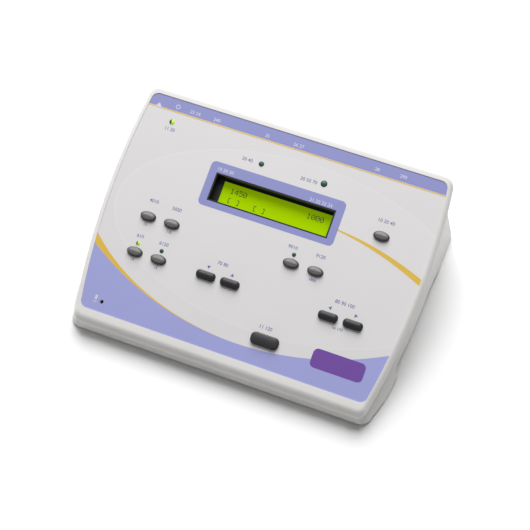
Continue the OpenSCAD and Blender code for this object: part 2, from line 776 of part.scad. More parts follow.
module display_bezel() {
    inner = [window_w - 2 * bezel_wall, window_h - 2 * bezel_wall];
    color("black")
        difference() {
            union() {
                panel_box([window_u, window_v], [window_w, window_h], lcd_face, 0);
                panel_box([window_u, window_v], [window_w + 2 * bezel_lip, window_h + 2 * bezel_lip],
                          cover_under - bezel_lip_t, cover_under);
            }
            panel_box([window_u, window_v], inner, lcd_face - cut, cut);
        }
}

module lcd_frame() {
    color("black")
        difference() {
            panel_box([glass_u, glass_v], [lcd_frame_w, lcd_frame_h], lcd_board_top, lcd_face);
            panel_box([glass_u, glass_v], [lcd_frame_w - 2 * lcd_frame_t, lcd_frame_h - 2 * lcd_frame_t],
                      lcd_board_top - cut, lcd_glass_top);
            panel_box([glass_u, glass_v], [glass_w, glass_h], lcd_glass_top - cut, lcd_face + cut);
        }
}

module lcd_glass() {
    color("yellowgreen")
        panel_box([glass_u, glass_v], LCD_INNER, lcd_light_top, lcd_glass_top);
}

module lcd_backlight() {
    color("lightyellow")
        panel_box([glass_u, glass_v], LCD_INNER, lcd_board_top, lcd_light_top);
}

module lcd_board() {
    color("darkgreen")
        difference() {
            panel_box([glass_u, glass_v], [lcd_board_w, lcd_board_h], lcd_board_bottom, lcd_board_top);
            for (s = LCD_SCREWS)
                panel_rod(s, board_hole_r, lcd_board_bottom - cut, lcd_board_top + cut);
        }
}

// The flat lead from the display's board over the gap to the main board's underside
module lcd_ribbon() {
    v0 = glass_v - lcd_board_h / 2;
    v1 = v0 - board_window_gap;
    bend = board_window_gap / 5;
    top = [[v0 + lcd_ribbon_hold, lcd_board_bottom], [v0 - bend, lcd_board_bottom],
           [v1 + 2.6 * bend, lcd_board_bottom - ribbon_t], [v1 + bend, board_bottom - 1.5 * ribbon_t],
           [v1 - bend, board_bottom], [v1 - bend - lcd_ribbon_hold, board_bottom]];
    low = [for (i = [len(top) - 1:-1:0]) [top[i][0] - (i == 3 ? ribbon_t : 0), top[i][1] - ribbon_t]];
    color("lightgray")
        on_panel([glass_u - lcd_ribbon_w / 2 - lcd_ribbon_shift, 0])
            rotate([90, 0, 90])
                linear_extrude(height = lcd_ribbon_w)
                    polygon(concat(top, low));
}

module main_board() {
    window = [lcd_board_w + 2 * board_window_gap, lcd_board_h + 2 * board_window_gap];
    color("green")
        difference() {
            panel_box([0, (board_front_v + board_rear_v) / 2], [board_w, board_rear_v - board_front_v],
                      board_bottom, board_top);
            panel_box([glass_u, glass_v], window, board_bottom - cut, board_top + cut);
            for (s = BOARD_SCREWS)
                panel_rod(s, board_hole_r, board_bottom - cut, board_top + cut);
        }
}

module key_switches() {
    color("black")
        for (key = KEYS)
            difference() {
                panel_box(key, [switch_w, switch_w], board_top, switch_top);
                panel_box(key, [plunger_w + 2 * slide_gap, plunger_w + 2 * slide_gap],
                          pocket_floor, switch_top + cut);
            }
}

// A key cap: straight below the faceplate, with a soft edge and a low crown on top
module key_cap(key, shade) {
    color(shade)
        on_panel(key)
            skin(concat([at_level(key_outline(key, 0), key_bottom)],
                [for (e = KEY_EDGE) at_level(key_outline(key, -e[1]), key_rise - e[0])]));
}

module key_plunger(key) {
    color("ivory")
        panel_box(key, [plunger_w, plunger_w], plunger_bottom, key_bottom);
}

// A lamp: a domed lens with a base flange and two legs down to the board
module lamp(at, shade) {
    r = at[2] / 2;
    dome = r / 2;
    flange_top = lamp_base + 2 * lamp_flange;
    color(shade)
        on_panel(at) {
            rotate_extrude()
                polygon(concat(
                    [[0, lamp_base], [r + lamp_flange, lamp_base],
                     [r + lamp_flange, flange_top], [r, flange_top]],
                    [for (a = [0:15:90]) [r * cos(a), lamp_rise - dome + dome * sin(a)]]));
            for (i = [-0.5, 0.5])
                translate([i * lead_pitch - lead_w / 2, -lead_w / 2, board_top])
                    cube([lead_w, lead_w, lamp_base - board_top + eps]);
        }
}

module microphone() {
    color("silver")
        difference() {
            panel_rod([mic_u, mic_v], mic_d / 2, mic_face - mic_l, mic_face);
            panel_rod([mic_u, mic_v], mic_d / 2 - 1, mic_face - 0.5, mic_face + cut);
        }
}

module mic_boot() {
    color("black")
        difference() {
            panel_rod([mic_u, mic_v], mic_d / 2 + boot_wall, board_top, cover_under);
            panel_rod([mic_u, mic_v], mic_d / 2 + screw_gap, mic_face - mic_l, cover_under + cut);
        }
}

// One board screw, driven up through a board whose underside is at the level given
module board_screw(at, under) {
    panel_rod(at, board_screw_d / 2, under, under + board_screw_l);
    difference() {
        panel_rod(at, board_head_r, under - board_head_h, under);
        for (slot = [[slot_l, slot_w], [slot_w, slot_l]])
            panel_box(at, slot, under - board_head_h - cut, under - board_head_h / 2);
    }
}

module board_screws() {
    color("silver") {
        for (s = BOARD_SCREWS)
            board_screw(s, board_bottom);
        for (s = LCD_SCREWS)
            board_screw(s, lcd_board_bottom);
    }
}

module case_screws() {
    color("silver")
        for (s = CASE_SCREWS)
            translate([s[0], s[1], s[2] - screw_seat])
                difference() {
                    union() {
                        cylinder(h = case_screw_l, r = case_screw_d / 2);
                        translate([0, 0, -screw_head_h])
                            cylinder(h = screw_head_h, r = screw_head_r);
                    }
                    for (a = [0, 90])
                        rotate([0, 0, a])
                            translate([-slot_l / 2, -slot_w / 2, -screw_head_h - cut])
                                cube([slot_l, slot_w, cut + screw_head_h / 2]);
                }
}

module feet() {
    color("dimgray")
        for (f = FEET)
            translate([f[0], f[1], 0])
                rotate_extrude()
                    polygon([[0, 0], [foot_d / 2 - 0.6, 0], [foot_d / 2, 0.6],
                             [foot_d / 2, foot_t], [0, foot_t]]);
}

module io_board() {
    color("green")
        translate([io_x0, io_back_y, io_z0])
            cube([io_x1 - io_x0, board_t, io_z1 - io_z0]);
}

// The flat lead from the main board's underside down to the socket board's inner face
module io_ribbon() {
    end_y = plate_y + io_ribbon_v * cos(panel_tilt) - board_bottom * sin(panel_tilt);
    end_z = panel_z(end_y, board_bottom);
    start = [end_y - io_ribbon_run, end_z - io_ribbon_run * panel_slope];
    top = [start, [end_y, end_z], [io_back_y - 1.6, end_z - 3],
           [io_back_y, end_z - 7], [io_back_y, end_z - io_ribbon_drop]];
    low = [[io_back_y - ribbon_t, end_z - io_ribbon_drop], [io_back_y - ribbon_t, end_z - 7.4],
           [io_back_y - 2.6, end_z - 3.8], [end_y, end_z - 1.1 * ribbon_t],
           [start[0], start[1] - ribbon_t]];
    color("lightgray")
        translate([io_ribbon_x, 0, 0])
            rotate([90, 0, 90])
                linear_extrude(height = io_ribbon_w)
                    polygon(concat(top, low));
}

// A quarter-inch jack: square body on the socket board, threaded neck through the panel
module jack(x) {
    color("black")
        difference() {
            union() {
                rear_box(x, jack_w, jack_w, io_face_y, panel_back_y);
                rear_rod(x, jack_neck_d / 2, panel_back_y - eps, panel_face_y + neck_out);
            }
            rear_rod(x, jack_bore_d / 2, io_face_y + jack_back, rear_y);
        }
}

module jack_nuts() {
    color("silver")
        for (x = JACKS)
            difference() {
                translate([x, panel_face_y, socket_z])
                    rotate([-90, 30, 0])
                        cylinder(h = nut_t, r = nut_w / 2 / cos(30), $fn = 6);
                rear_rod(x, jack_neck_d / 2 + screw_gap, panel_face_y - cut, rear_y);
            }
}

// A round data socket: a moulded body, a shell through the panel, and contact holes
module data_socket(x) {
    color("dimgray")
        difference() {
            union() {
                rear_box(x, data_body_w, data_body_w, io_face_y, panel_back_y);
                rear_rod(x, data_shell_r, panel_back_y - eps, mouth_y);
            }
            rear_rod(x, data_bore_d / 2, mouth_y - data_depth, rear_y);
            for (a = [30:60:330])
                rear_rod(x + contact_ring_r * cos(a), contact_r, mouth_y - contact_depth, rear_y,
                         socket_z + contact_ring_r * sin(a));
        }
}

module supply_socket() {
    color("black") {
        difference() {
            union() {
                rear_box(supply_x, supply_body[0], supply_body[1], io_face_y, panel_back_y);
                rear_rod(supply_x, supply_neck_r, panel_back_y - eps, mouth_y);
            }
            rear_rod(supply_x, supply_bore_d / 2, mouth_y - supply_front, rear_y);
            rear_rod(supply_x, supply_bore_d / 2 - supply_step, mouth_y - supply_depth, rear_y);
        }
        rear_rod(supply_x, supply_pin_r, mouth_y - supply_depth - eps, mouth_y - supply_pin_in);
    }
}

module rocker_body() {
    color("black")
        difference() {
            union() {
                rear_box(rocker_x, rocker_body_w, rocker_body_h, io_face_y, panel_face_y + eps);
                rear_box(rocker_x, rocker_body_w + rocker_flange[0], rocker_body_h + rocker_flange[1],
                         panel_face_y, mouth_y);
            }
            rear_box(rocker_x, rocker_cave_w, rocker_cave_h, panel_face_y - rocker_cave_depth, rear_y);
            translate([rocker_x - (rocker_pin_l + 2 * slide_gap) / 2, pivot_y, socket_z])
                rotate([0, 90, 0])
                    cylinder(h = rocker_pin_l + 2 * slide_gap, r = rocker_pin_d / 2 + screw_gap);
        }
}

module power_rocker() {
    color("black")
        translate([rocker_x, pivot_y, socket_z])
            rotate([-rocker_tilt, 0, 0]) {
                translate([-rocker_w / 2, 0, 0])
                    rotate([90, 0, 90])
                        linear_extrude(height = rocker_w)
                            polygon(ROCKER);
                translate([-rocker_pin_l / 2, 0, 0])
                    rotate([0, 90, 0])
                        cylinder(h = rocker_pin_l, r = rocker_pin_d / 2);
            }
}

module chips() {
    color("black")
        for (c = CHIPS)
            panel_box([c[0] * board_w, c[1] * panel_l], [c[2], c[3]], board_top, board_top + c[4]);
}

base();
top_cover();
faceplate();
rear_panel();
display_bezel();
lcd_frame();
lcd_glass();
lcd_backlight();
lcd_board();
lcd_ribbon();
main_board();
key_switches();
key_cap(menu, "gray");  // menu_key
key_cap(print, "gray");  // print_key
key_cap(left, "gray");  // left_key
key_cap(right, "gray");  // right_key
key_cap(level_down, "dimgray");  // level_down_key
key_cap(level_up, "dimgray");  // level_up_key
key_cap(tone, "gray");  // tone_key
key_cap(auto, "gray");  // auto_key
key_cap(frequency_down, "dimgray");  // frequency_down_key
key_cap(frequency_up, "dimgray");  // frequency_up_key
key_cap(talkover, "gray");  // talkover_key
key_cap(present, "dimgray");  // present_key
key_plunger(menu);  // menu_plunger
key_plunger(print);  // print_plunger
key_plunger(left);  // left_plunger
key_plunger(right);  // right_plunger
key_plunger(level_down);  // level_down_plunger
key_plunger(level_up);  // level_up_plunger
key_plunger(tone);  // tone_plunger
key_plunger(auto);  // auto_plunger
key_plunger(frequency_down);  // frequency_down_plunger
key_plunger(frequency_up);  // frequency_up_plunger
key_plunger(talkover);  // talkover_plunger
key_plunger(present);  // present_plunger
lamp(power_lamp_at, "greenyellow");  // power_lamp
lamp(patient_lamp_at, "darkgreen");  // patient_lamp
lamp(response_lamp_at, "darkgreen");  // response_lamp
lamp(left_lamp_at, "greenyellow");  // left_lamp
lamp(right_lamp_at, "darkgreen");  // right_lamp
lamp(tone_lamp_at, "darkgreen");  // tone_lamp
microphone();
mic_boot();
board_screws();
case_screws();
feet();
io_board();
io_ribbon();
rocker_body();
power_rocker();
supply_socket();
data_socket(printer_x);  // printer_socket
data_socket(computer_x);  // computer_socket
jack(input_x);  // input_jack
jack(response_x);  // response_jack
jack(left_x);  // left_jack
jack(right_x);  // right_jack
jack_nuts();
chips();
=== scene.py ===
import math

import bmesh
import bpy
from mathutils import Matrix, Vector


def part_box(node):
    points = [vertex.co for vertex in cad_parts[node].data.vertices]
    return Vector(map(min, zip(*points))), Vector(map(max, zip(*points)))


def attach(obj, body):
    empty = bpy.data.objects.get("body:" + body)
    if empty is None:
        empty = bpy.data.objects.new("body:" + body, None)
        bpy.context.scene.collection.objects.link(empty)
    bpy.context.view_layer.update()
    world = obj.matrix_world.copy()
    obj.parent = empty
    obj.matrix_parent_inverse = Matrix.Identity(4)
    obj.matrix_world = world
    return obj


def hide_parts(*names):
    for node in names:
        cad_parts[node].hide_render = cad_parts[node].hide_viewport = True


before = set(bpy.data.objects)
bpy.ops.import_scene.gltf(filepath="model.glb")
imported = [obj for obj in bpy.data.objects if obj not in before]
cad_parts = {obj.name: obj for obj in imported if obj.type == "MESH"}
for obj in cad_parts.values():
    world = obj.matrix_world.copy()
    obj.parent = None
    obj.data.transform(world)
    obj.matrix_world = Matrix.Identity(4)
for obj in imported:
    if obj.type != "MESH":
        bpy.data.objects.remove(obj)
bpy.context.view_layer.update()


# The camera: a long lens about a metre off, above the case and in front of its
# right side, which keeps the edges of the case nearly parallel.
mm = 0.001
camera_turn = math.radians(20.93)
camera_drop = math.radians(60.12)
camera_lens = 87.1
camera_at = Vector((186.9, -477.1, 906.6)) * mm

camera = bpy.data.objects.new("camera", bpy.data.cameras.new("camera"))
bpy.context.collection.objects.link(camera)
camera_look = Vector((
    -math.sin(camera_turn) * math.cos(camera_drop),
    math.cos(camera_turn) * math.cos(camera_drop),
    -math.sin(camera_drop)))
camera.location = camera_at
camera.rotation_euler = camera_look.to_track_quat("-Z", "Y").to_euler()
camera.data.lens = camera_lens
bpy.context.scene.camera = camera


# The top cover: the upper half of the case, moulded in off-white satin plastic.
# Its walls run up from the seam and roll over into a rim round the sunken panel,
# which is pierced for the keys, the lamps, the microphone and the display.
case_low, case_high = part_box("base")
front_y, rear_y = case_low.y, case_high.y
case_d = rear_y - front_y
rim_front_w, rim_rear_w = 239.5 * mm, 253 * mm
rim_bow = 9 * mm
rim_r, rear_rim_r = 5 * mm, 2 * mm
rim_rolls = 10
rim_h = 0.4 * mm
rim_back = 5.9 * mm
corner_r, least_corner_r = 8 * mm, 1 * mm
wall = 2.5 * mm
waist = 1.8 * mm
seam_back = 4 * mm
seam_front_z = 9 * mm
seam_slope = math.tan(math.radians(9.9))
seam_groove = 0.4 * mm
panel_tilt = math.radians(19)
panel_lie, panel_stand = math.cos(panel_tilt), math.sin(panel_tilt)
panel_y, panel_z0 = front_y + 10 * mm, 19.7 * mm
panel_l = 182.9 * mm
panel_under = -3 * mm
plate_t = 0.5 * mm
plate_side = 4.5 * mm
plate_r = 6 * mm
plate_gap = 0.06 * mm
overrun = 1 * mm
shell_colour = (0.8, 0.79, 0.77)


def rim_half(y):
    """Half width of the rim at this depth."""
    share = (y - front_y) / case_d
    straight = rim_front_w + (rim_rear_w - rim_front_w) * share
    return straight / 2 + 4 * rim_bow * share * (1 - share)


def quarter_turn(count):
    """Angles from nought to a right angle, in this many steps."""
    return [math.pi / 2 * i / count for i in range(count + 1)]


def bowed(y0, y1, r, half):
    """A bowed outline with round corners, counter-clockwise from the front right."""
    corner_steps, side_steps = 12, 40
    first, last = half(y0 + r) - r, half(y1 - r) - r
    turn = quarter_turn(corner_steps)
    side = [y0 + r + (y1 - y0 - 2 * r) * i / side_steps for i in range(1, side_steps)]
    right = [(first + r * math.sin(a), y0 + r - r * math.cos(a)) for a in turn]
    right += [(half(y), y) for y in side]
    right += [(last + r * math.cos(a), y1 - r + r * math.sin(a)) for a in turn]
    return right + [(-x, y) for x, y in reversed(right)]


def rim_outline(inset, rear_inset):
    """The case's outline above the seam, drawn in at the sides and at the rear."""
    r = max(corner_r - inset, least_corner_r)
    return bowed(front_y + inset, rear_y - rear_inset, r, lambda y: rim_half(y) - inset)


def at_level(points, z):
    """Outline points at one height above the floor."""
    return [(x, y, z) for x, y in points]


def at_seam(points, rise):
    """Outline points at a height above the sloping seam."""
    return [(x, y, seam_front_z + (y - front_y) * seam_slope + rise) for x, y in points]


def at_panel(points, level):
    """Outline points stood straight up to a level above the panel's face."""
    slope, lift = math.tan(panel_tilt), level / panel_lie
    return [(x, y, panel_z0 + (y - panel_y) * slope + lift) for x, y in points]


def on_panel(points, level):
    """Points across and up the panel, at a level above its face."""
    return [(u, panel_y + v * panel_lie - level * panel_stand,
             panel_z0 + v * panel_stand + level * panel_lie) for u, v in points]


def slab(points, low, high):
    """The two rings of a flat part that lies along the panel."""
    return [on_panel(points, low), on_panel(points, high)]


def panel_spot(node):
    """Where the middle of a node lies across and up the panel."""
    points = [corner.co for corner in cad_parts[node].data.vertices]
    across = [point.x for point in points]
    up = [(point.y - panel_y) * panel_lie + (point.z - panel_z0) * panel_stand
          for point in points]
    return (min(across) + max(across)) / 2, (min(up) + max(up)) / 2


def new_piece(name, shape):
    """Turns a finished bmesh into a piece of the scene."""
    mesh = bpy.data.meshes.new(name)
    shape.to_mesh(mesh)
    shape.free()
    piece = bpy.data.objects.new(name, mesh)
    bpy.context.collection.objects.link(piece)
    return piece


def lofts(name, parts):
    """One piece from closed parts, each a row of rings skinned and capped."""
    shape = bmesh.new()
    for rings in parts:
        loops = [[shape.verts.new(point) for point in ring] for ring in rings]
        count = len(loops[0])
        for low, high in zip(loops, loops[1:]):
            for i in range(count):
                j = (i + 1) % count
                shape.faces.new((low[i], low[j], high[j], high[i]))
        shape.faces.new(list(reversed(loops[0])))
        shape.faces.new(loops[-1])
    return new_piece(name, shape)


def carve(piece, cutter, how="DIFFERENCE"):
    """Cuts one piece with another, which is used up."""
    step = piece.modifiers.new("carve", "BOOLEAN")
    step.operation = how
    step.solver = "EXACT"
    step.object = cutter
    ready = piece.evaluated_get(bpy.context.evaluated_depsgraph_get())
    mesh = bpy.data.meshes.new_from_object(ready)
    piece.modifiers.clear()
    piece.data = mesh
    bpy.data.objects.remove(cutter)


def finish_piece(piece, material, body="housing"):
    """Smooths a piece up to its folds, gives it its finish and hangs it on its body."""
    fold = math.radians(30)
    piece.data.shade_smooth()
    piece.data.set_sharp_from_angle(angle=fold)
    piece.data.materials.clear()
    piece.data.materials.append(material)
    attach(piece, body)


def shaded(colour, level):
    """A colour made darker or lighter."""
    return [part * level for part in colour]


def shade_ramp(nodes, stops):
    """A ramp node that runs through a colour at each of its stops."""
    ramp = nodes.new("ShaderNodeValToRGB")
    elements = ramp.color_ramp.elements
    while len(elements) < len(stops):
        elements.new(0.5)
    for element, (position, colour) in zip(elements, stops):
        element.position = position
        element.color = (*colour, 1)
    return ramp


def moulded(name, colour, roughness, grain=0.35 * mm, relief=0.01 * mm, drift=0.02):
    """Moulded plastic: a fine spark-eroded grain and a slow drift of shade."""
    drift_scale, drift_detail, grain_detail = 25, 3, 2
    gloss_spread, relief_strength = 0.06, 0.5
    material = bpy.data.materials.new(name)
    material.use_nodes = True
    nodes, links = material.node_tree.nodes, material.node_tree.links
    shader = nodes["Principled BSDF"]
    place = nodes.new("ShaderNodeTexCoord")
    slow = nodes.new("ShaderNodeTexNoise")
    slow.inputs["Scale"].default_value = drift_scale
    slow.inputs["Detail"].default_value = drift_detail
    dark, pale = shaded(colour, 1 - drift), shaded(colour, 1 + drift)
    shade = shade_ramp(nodes, ((0.3, dark), (0.7, pale)))
    fine = nodes.new("ShaderNodeTexNoise")
    fine.inputs["Scale"].default_value = 1 / grain
    fine.inputs["Detail"].default_value = grain_detail
    sheen = nodes.new("ShaderNodeMapRange")
    sheen.inputs["To Min"].default_value = roughness - gloss_spread
    sheen.inputs["To Max"].default_value = roughness + gloss_spread
    bump = nodes.new("ShaderNodeBump")
    bump.inputs["Strength"].default_value = relief_strength
    bump.inputs["Distance"].default_value = relief
    for texture in (slow, fine):
        links.new(place.outputs["Object"], texture.inputs["Vector"])
    links.new(slow.outputs["Fac"], shade.inputs["Fac"])
    links.new(shade.outputs["Color"], shader.inputs["Base Color"])
    links.new(fine.outputs["Fac"], sheen.inputs["Value"])
    links.new(sheen.outputs["Result"], shader.inputs["Roughness"])
    links.new(fine.outputs["Fac"], bump.inputs["Height"])
    links.new(bump.outputs["Normal"], shader.inputs["Normal"])
    return material


keys = [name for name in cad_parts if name.endswith("_key")]
key_halves = {
    "oval": (6.3 * mm, 3.6 * mm),
    "long": (7.7 * mm, 3.15 * mm),
    "present": (11.2 * mm, 4.55 * mm)}
bar_key_r = {"long": 2.8 * mm, "present": 3.8 * mm}
key_gap = 0.3 * mm
lamps = [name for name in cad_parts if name.endswith("_lamp")]
lamp_d = {"power_lamp": 4.3 * mm, "patient_lamp": 4.3 * mm, "response_lamp": 5.3 * mm}
small_lamp_d = 3.2 * mm
window_at = (-1.8 * mm, 123.3 * mm)
window_half = (50.15 * mm, 11.75 * mm)
mic_at = panel_spot("microphone")
sound_hole_r = 1.6 * mm


def key_shape(key):
    """Which of its three shapes a key has."""
    if key == "present_key":
        return "present"
    return "long" if key.startswith(("level", "frequency")) else "oval"


def lamp_r(lamp):
    """Half of a lens's diameter."""
    return lamp_d.get(lamp, small_lamp_d) / 2


def plain_box(at, half):
    """A box with sharp corners, counter-clockwise."""
    corners = ((-1, -1), (1, -1), (1, 1), (-1, 1))
    return [(at[0] + x * half[0], at[1] + y * half[1]) for x, y in corners]


def round_box(at, half, r, arc=8):
    """A box with round corners, counter-clockwise."""
    points = []
    for side_x, side_y, start in ((1, -1, -90), (1, 1, 0), (-1, 1, 90), (-1, -1, 180)):
        for i in range(arc + 1):
            a = math.radians(start + 90 * i / arc)
            points.append((at[0] + side_x * (half[0] - r) + r * math.cos(a),
                           at[1] + side_y * (half[1] - r) + r * math.sin(a)))
    return points


def disc(at, half, count=64):
    """A circle or an ellipse, counter-clockwise."""
    turn = [2 * math.pi * i / count for i in range(count)]
    return [(at[0] + half[0] * math.cos(a), at[1] + half[1] * math.sin(a)) for a in turn]


def key_outline(key, inset):
    """A key's outline on the panel, drawn in by an inset."""
    shape = key_shape(key)
    long, high = key_halves[shape]
    at, half = panel_spot(key), (long - inset, high - inset)
    if shape == "oval":
        return disc(at, half)
    return round_box(at, half, bar_key_r[shape] * (high - inset) / high, arc=16)


def panel_holes(low, high):
    """Cutters for all that stands in the panel."""
    outlines = [key_outline(key, -key_gap) for key in keys]
    for lamp in lamps:
        r = lamp_r(lamp) + plate_gap
        outlines.append(disc(panel_spot(lamp), (r, r)))
    outlines.append(disc(mic_at, (sound_hole_r, sound_hole_r)))
    outlines.append(plain_box(window_at, window_half))
    return lofts("holes", [slab(points, low, high) for points in outlines])


def plate_outline(inset):
    """The outline of the film's recess on the panel, drawn in by an inset."""
    return bowed(inset, panel_l - inset, plate_r - inset,
                 lambda v: rim_half(panel_y + v * panel_lie) - plate_side - inset)


rear_open_half = 108 * mm
rear_open_low, rear_open_high = 16 * mm, 56 * mm
rear_plate_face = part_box("rear_panel")[1].y


def rear_opening():
    """The cutter that opens both shells behind the rear plate."""
    x, y0, y1 = rear_open_half, rear_plate_face, rear_y + overrun
    ring = [(-x, y0), (x, y0), (x, y1), (-x, y1)]
    return lofts("opening", [[at_level(ring, z) for z in (rear_open_low, rear_open_high)]])


cover_rings = [
    at_seam(rim_outline(waist + seam_groove, seam_back + seam_groove), 0),
    at_seam(rim_outline(waist, seam_back), seam_groove)]
for bend in quarter_turn(rim_rolls):
    turn, drop = 1 - math.cos(bend), 1 - math.sin(bend)
    ring = rim_outline(rim_r * turn, rim_back + rear_rim_r * turn)
    cover_rings.append(at_panel(ring, rim_h - rim_r * drop))
cover = lofts("cover_shell", [cover_rings])
carve(cover, lofts("hollow", [[
    at_seam(rim_outline(waist + wall, seam_back + wall), -overrun),
    at_panel(rim_outline(wall, rim_back + wall), panel_under - wall),
    at_panel(rim_outline(2 * wall, rim_back + 2 * wall), panel_under)]]))
carve(cover, lofts("recess", [slab(plate_outline(0), -plate_t, rim_h + overrun)]))
carve(cover, panel_holes(panel_under - overrun, overrun))
carve(cover, rear_opening())
shell_plastic = moulded("off_white_shell", shell_colour, roughness=0.42)
finish_piece(cover, shell_plastic)
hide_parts("top_cover")


# The base: the lower half of the case, of the same plastic. It spreads out to a
# foot wider than the rim, and a scoop under each side takes the fingers.
foot_half_w = case_high.x
foot_taper, foot_curve = 14 * mm, 7
foot_r = 10 * mm
foot_gap = 1 * mm
foot_edge = (
    (1.6 * mm, 1.2 * mm, 0), (0.9 * mm, 0.7 * mm, 0.2 * mm), (0.4 * mm, 0.3 * mm, 0.7 * mm),
    (0.1 * mm, 0.1 * mm, 1.3 * mm), (0, 0, 2 * mm))
scoop_start, scoop_l = 48 * mm, 112 * mm
scoop_h, scoop_d = 12 * mm, 14 * mm
scoop_ease_l, scoop_ease_h = 10 * mm, 6 * mm
scoop_tail = ((34 * mm, 0), (20 * mm, 4 * mm), (8 * mm, 9 * mm))


def foot_outline(inset, rear_inset):
    """The base's outline at the foot, which narrows towards the front."""
    def half(y):
        share = max((y - front_y) / case_d, 0)
        return foot_half_w - foot_taper * (1 - share) ** foot_curve - inset
    r = max(foot_r - inset, least_corner_r)
    return bowed(front_y + inset, rear_y - rear_inset, r, half)


def scoop(grow):
    """Both side scoops, drawn as seen from the side and run out past the foot."""
    y0, y1 = front_y + scoop_start - grow, front_y + scoop_start + scoop_l + grow
    high = scoop_h + grow
    side = [(y0, -overrun)]
    side += [(y0 + scoop_ease_l * (1 - math.cos(a)),
              high - scoop_ease_h * (1 - math.sin(a))) for a in quarter_turn(8)]
    side += [(y1 - back, high - drop) for back, drop in scoop_tail] + [(y1, -overrun)]
    inner, outer = foot_half_w - scoop_d - grow, foot_half_w + scoop_d
    return lofts("scoops", [
        [[(x, y, z) for y, z in reversed(side)] for x in ends]
        for ends in ((-outer, -inner), (inner, outer))])


base_rings = [
    at_level(foot_outline(inset, rear_inset), foot_gap + z)
    for inset, rear_inset, z in foot_edge]
base_rings += [
    at_seam(rim_outline(waist, seam_back), -seam_groove),
    at_seam(rim_outline(waist + seam_groove, seam_back + seam_groove), 0)]
base = lofts("base_shell", [base_rings])
hollow = lofts("hollow", [[
    at_level(foot_outline(2 * wall, wall), foot_gap + wall),
    at_seam(rim_outline(waist + wall, seam_back + wall), overrun)]])
carve(hollow, scoop(wall))
carve(base, hollow)
carve(base, scoop(0))
carve(base, rear_opening())
finish_piece(base, shell_plastic)
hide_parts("base")


# The faceplate: a thin printed film laid in the cover's recess, its matt ground
# a cool off-white with a paler field, bounded by a faint line, behind the keys.
film_colour = (0.735, 0.715, 0.72)
film_grain, film_relief = 0.5 * mm, 0.004 * mm
field_at = (18.5 * mm, 94.3 * mm)
field_half = (142 * mm, 70.6 * mm)
field_colour = (0.775, 0.765, 0.77)
field_edge = ((0.0, 0.25), (0.978, 0.3), (0.988, 0.9), (0.998, 0.0))


def printed_film():
    """The film's ground, with the pale oval field drawn in the panel's own plane.

    The field's edge is a row of shares of the way out, each with the field's strength.
    """
    material = moulded(
        "printed_film", film_colour, 0.5, film_grain, film_relief, drift=0.008)
    nodes, links = material.node_tree.nodes, material.node_tree.links
    shader = nodes["Principled BSDF"]
    ground = shader.inputs["Base Color"].links[0].from_socket
    place = nodes.new("ShaderNodeTexCoord")
    field = nodes.new("ShaderNodeMapping")
    field.vector_type = "TEXTURE"
    field.inputs["Location"].default_value = on_panel([field_at], 0)[0]
    field.inputs["Rotation"].default_value = (panel_tilt, 0, 0)
    field.inputs["Scale"].default_value = (*field_half, field_half[0])
    reach = nodes.new("ShaderNodeVectorMath")
    reach.operation = "LENGTH"
    edge = shade_ramp(nodes, [(share, [level] * 3) for share, level in field_edge])
    tint = nodes.new("ShaderNodeMix")
    tint.data_type = "RGBA"
    tint.inputs["B"].default_value = (*field_colour, 1)
    links.new(place.outputs["Object"], field.inputs["Vector"])
    links.new(field.outputs["Vector"], reach.inputs[0])
    links.new(reach.outputs["Value"], edge.inputs["Fac"])
    links.new(edge.outputs["Color"], tint.inputs["Factor"])
    links.new(ground, tint.inputs["A"])
    links.new(tint.outputs["Result"], shader.inputs["Base Color"])
    return material


faceplate = lofts("faceplate_film", [slab(plate_outline(plate_gap), -plate_t, 0)])
carve(faceplate, panel_holes(-plate_t - overrun, overrun))
finish_piece(faceplate, printed_film())
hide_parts("faceplate")


# The panel's printed colours: flat coats of lilac and gold ink, a few hundredths
# of a millimetre thick, screened onto the film and cut off at its edge.
ink_t, ink_sink = 0.03 * mm, 0.02 * mm
front_lilac = (0.36, 0.38, 0.715)
rear_lilac = (0.275, 0.29, 0.59)
gold_colour = (0.76, 0.5, 0.07)
side_u = 135 * mm
band_v = 172.6 * mm
gold_line_t, gold_line_gap = 0.9 * mm, 0.35 * mm
swell_at = (8.2 * mm, 255.5 * mm)
swell_r = 243.8 * mm
crescent_end_u = 126.5 * mm
crescent_t, crescent_flare = 2 * mm, 6 * mm
display_plate = ((-1.9 * mm, 125.1 * mm), (56.4 * mm, 18.6 * mm), 4 * mm)
window_r = 0.2 * mm
stripe_start = (54 * mm, 120.6 * mm)
stripe_start_half = 0.55 * mm
stripe_end_v = (102.6 * mm, 97.4 * mm)
stripe_overrun = 0.1
stripe_bulge = 3.6 * mm


def screen_ink(name, colour, roughness=0.5, drift=0.01):
    """Printing ink, which shows the film's own fine grain."""
    return moulded(name, colour, roughness, film_grain, film_relief, drift)


def ink(name, parts, material, clip=False):
    """A coat of ink, cut off at the film's edge where it runs over."""
    piece = lofts(name, [slab(part, -ink_sink, ink_t) for part in parts])
    if clip:
        edge = lofts("edge", [slab(plate_outline(plate_gap), -plate_t, overrun)])
        carve(piece, edge, "INTERSECT")
    finish_piece(piece, material)
    return piece


def steps(start, end, count):
    """Evenly spaced values from one end to the other."""
    return [start + (end - start) * i / count for i in range(count + 1)]


def strip(low_v, high_v):
    """A strip right across the panel, run out past its sides."""
    return [(-side_u, low_v), (side_u, low_v), (side_u, high_v), (-side_u, high_v)]


def swell(u):
    """Height of the lilac field's edge, a wide arc along the panel's front."""
    return swell_at[1] - math.sqrt(swell_r ** 2 - (u - swell_at[0]) ** 2)


def crescent_top(u):
    """Height of the gold crescent's upper edge, which flares out to the left."""
    share = max(-u / crescent_end_u, 0)
    return swell(u) + crescent_t * share + crescent_flare * share ** 5


